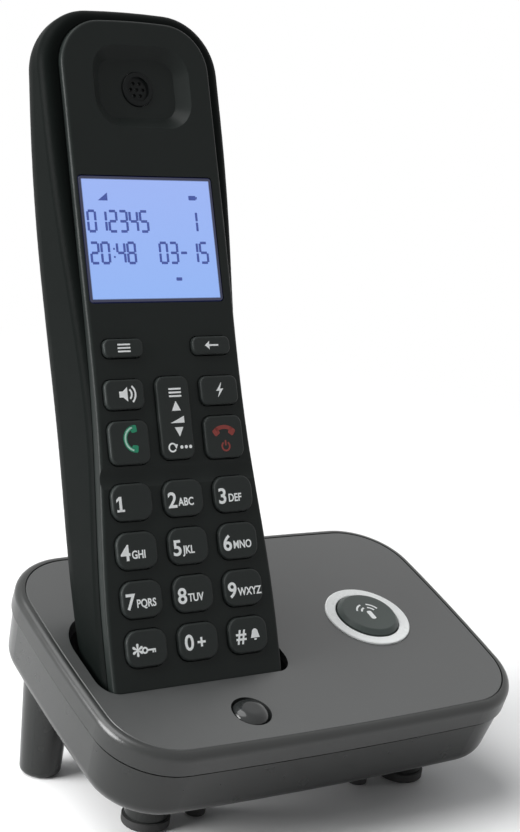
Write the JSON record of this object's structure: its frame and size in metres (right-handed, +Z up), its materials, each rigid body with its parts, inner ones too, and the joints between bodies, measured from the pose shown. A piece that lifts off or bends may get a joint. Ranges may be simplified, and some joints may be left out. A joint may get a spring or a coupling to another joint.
{
  "type": "cordless telephone",
  "caption": "Cordless telephone handset with display and keypad, standing in a sloping charging base with a paging button and tall rear legs.",
  "frame": {"origin": "on the table under the middle of the whole telephone", "axes": "+X to the right, +Y to the back, +Z up, front of the telephone towards -Y"},
  "size_m": [0.117, 0.0987, 0.1796],
  "materials": {
    "base_plastic": "satin",
    "deck_plastic": "satin",
    "black_plastic": "matt",
    "silver_plastic": "satin",
    "button_plastic": "satin",
    "smoke_plastic": "gloss",
    "foot_rubber": "matt",
    "screw_steel": "plain",
    "contact_nickel": "polished",
    "light_plastic": "gloss",
    "board_green": "satin",
    "tin": "plain",
    "antenna_brass": "plain",
    "face_plastic": "satin",
    "shell_plastic": "satin",
    "window_plastic": "gloss",
    "display_glass": "gloss",
    "backlight_plastic": "satin",
    "mat_rubber": "matt",
    "cell_sleeve": "gloss",
    "key_plastic": "satin"
  },
  "bodies": {
    "base": {"lower_housing": "base_plastic", "upper_housing": "base_plastic", "deck_plate": "deck_plastic", "cradle_cup": "black_plastic", "base_contacts": "contact_nickel", "base_screws": "screw_steel", "rubber_pads": "foot_rubber", "page_ring": "silver_plastic", "page_switch": "black_plastic", "charge_lens": "smoke_plastic", "charge_light": "light_plastic", "light_board": "board_green", "base_board": "board_green", "radio_shield": "tin", "base_antenna": "antenna_brass", "power_inlet": "black_plastic", "line_socket": "black_plastic"},
    "handset": {"front_housing": "face_plastic", "rear_housing": "shell_plastic", "handset_screws": "screw_steel", "display_window": "window_plastic", "display": "display_glass", "display_backlight": "backlight_plastic", "display_frame": "black_plastic", "earpiece_grille": "black_plastic", "receiver": "tin", "keypad_mat": "mat_rubber", "handset_board": "board_green", "handset_antenna": "antenna_brass", "microphone": "tin", "loudspeaker": "tin", "battery_cells": "cell_sleeve", "battery_contacts": "contact_nickel", "charging_pads": "contact_nickel"},
    "page_button": {"page_button": "button_plastic"},
    "battery_door": {"battery_door": "shell_plastic"},
    "rocker_key": {"rocker_key": "key_plastic"},
    "left_soft_key": {"left_soft_key": "key_plastic"},
    "right_soft_key": {"right_soft_key": "key_plastic"},
    "speaker_key": {"speaker_key": "key_plastic"},
    "flash_key": {"flash_key": "key_plastic"},
    "talk_key": {"talk_key": "key_plastic"},
    "end_key": {"end_key": "key_plastic"},
    "digit_key_1": {"digit_key_1": "key_plastic"},
    "digit_key_2": {"digit_key_2": "key_plastic"},
    "digit_key_3": {"digit_key_3": "key_plastic"},
    "digit_key_4": {"digit_key_4": "key_plastic"},
    "digit_key_5": {"digit_key_5": "key_plastic"},
    "digit_key_6": {"digit_key_6": "key_plastic"},
    "digit_key_7": {"digit_key_7": "key_plastic"},
    "digit_key_8": {"digit_key_8": "key_plastic"},
    "digit_key_9": {"digit_key_9": "key_plastic"},
    "star_key": {"star_key": "key_plastic"},
    "zero_key": {"zero_key": "key_plastic"},
    "hash_key": {"hash_key": "key_plastic"}
  },
  "joints": [
    {"name": "handset_lift", "type": "slide", "parent": "base", "child": "handset", "axis": [0, 0.4099, 0.9121], "range_m": [0, 0.09]},
    {"name": "page_button_press", "type": "slide", "parent": "base", "child": "page_button", "axis": [0, 0.2588, -0.9659], "range_m": [0, 0.0006], "stiffness_N_per_m": 2000, "springref_m": -0.0003},
    {"name": "left_soft_key_press", "type": "slide", "parent": "handset", "child": "left_soft_key", "axis": [0, 0.9121, -0.4099], "range_m": [0, 0.0005], "stiffness_N_per_m": 2000, "springref_m": -0.0003},
    {"name": "right_soft_key_press", "type": "slide", "parent": "handset", "child": "right_soft_key", "axis": [0, 0.9121, -0.4099], "range_m": [0, 0.0005], "stiffness_N_per_m": 2000, "springref_m": -0.0003},
    {"name": "speaker_key_press", "type": "slide", "parent": "handset", "child": "speaker_key", "axis": [0, 0.9121, -0.4099], "range_m": [0, 0.0005], "stiffness_N_per_m": 2000, "springref_m": -0.0003},
    {"name": "flash_key_press", "type": "slide", "parent": "handset", "child": "flash_key", "axis": [0, 0.9121, -0.4099], "range_m": [0, 0.0005], "stiffness_N_per_m": 2000, "springref_m": -0.0003},
    {"name": "talk_key_press", "type": "slide", "parent": "handset", "child": "talk_key", "axis": [0, 0.9121, -0.4099], "range_m": [0, 0.0005], "stiffness_N_per_m": 2000, "springref_m": -0.0003},
    {"name": "end_key_press", "type": "slide", "parent": "handset", "child": "end_key", "axis": [0, 0.9121, -0.4099], "range_m": [0, 0.0005], "stiffness_N_per_m": 2000, "springref_m": -0.0003},
    {"name": "digit_key_1_press", "type": "slide", "parent": "handset", "child": "digit_key_1", "axis": [0, 0.9121, -0.4099], "range_m": [0, 0.0005], "stiffness_N_per_m": 2000, "springref_m": -0.0003},
    {"name": "digit_key_2_press", "type": "slide", "parent": "handset", "child": "digit_key_2", "axis": [0, 0.9121, -0.4099], "range_m": [0, 0.0005], "stiffness_N_per_m": 2000, "springref_m": -0.0003},
    {"name": "digit_key_3_press", "type": "slide", "parent": "handset", "child": "digit_key_3", "axis": [0, 0.9121, -0.4099], "range_m": [0, 0.0005], "stiffness_N_per_m": 2000, "springref_m": -0.0003},
    {"name": "digit_key_4_press", "type": "slide", "parent": "handset", "child": "digit_key_4", "axis": [0, 0.9121, -0.4099], "range_m": [0, 0.0005], "stiffness_N_per_m": 2000, "springref_m": -0.0003},
    {"name": "digit_key_5_press", "type": "slide", "parent": "handset", "child": "digit_key_5", "axis": [0, 0.9121, -0.4099], "range_m": [0, 0.0005], "stiffness_N_per_m": 2000, "springref_m": -0.0003},
    {"name": "digit_key_6_press", "type": "slide", "parent": "handset", "child": "digit_key_6", "axis": [0, 0.9121, -0.4099], "range_m": [0, 0.0005], "stiffness_N_per_m": 2000, "springref_m": -0.0003},
    {"name": "digit_key_7_press", "type": "slide", "parent": "handset", "child": "digit_key_7", "axis": [0, 0.9121, -0.4099], "range_m": [0, 0.0005], "stiffness_N_per_m": 2000, "springref_m": -0.0003},
    {"name": "digit_key_8_press", "type": "slide", "parent": "handset", "child": "digit_key_8", "axis": [0, 0.9121, -0.4099], "range_m": [0, 0.0005], "stiffness_N_per_m": 2000, "springref_m": -0.0003},
    {"name": "digit_key_9_press", "type": "slide", "parent": "handset", "child": "digit_key_9", "axis": [0, 0.9121, -0.4099], "range_m": [0, 0.0005], "stiffness_N_per_m": 2000, "springref_m": -0.0003},
    {"name": "star_key_press", "type": "slide", "parent": "handset", "child": "star_key", "axis": [0, 0.9121, -0.4099], "range_m": [0, 0.0005], "stiffness_N_per_m": 2000, "springref_m": -0.0003},
    {"name": "zero_key_press", "type": "slide", "parent": "handset", "child": "zero_key", "axis": [0, 0.9121, -0.4099], "range_m": [0, 0.0005], "stiffness_N_per_m": 2000, "springref_m": -0.0003},
    {"name": "hash_key_press", "type": "slide", "parent": "handset", "child": "hash_key", "axis": [0, 0.9121, -0.4099], "range_m": [0, 0.0005], "stiffness_N_per_m": 2000, "springref_m": -0.0003},
    {"name": "rocker_key_tilt", "type": "hinge", "parent": "handset", "child": "rocker_key", "pos_m": [-0.0276, 0.00015, 0.09056], "axis": [1, 0, 0], "range_deg": [-2.5, 2.5], "stiffness_Nm_per_rad": 0.2},
    {"name": "battery_door_swing", "type": "hinge", "parent": "handset", "child": "battery_door", "pos_m": [-0.0276, 0.00368, 0.04951], "axis": [-1, 0, 0], "range_deg": [0, 35]}
  ]
}
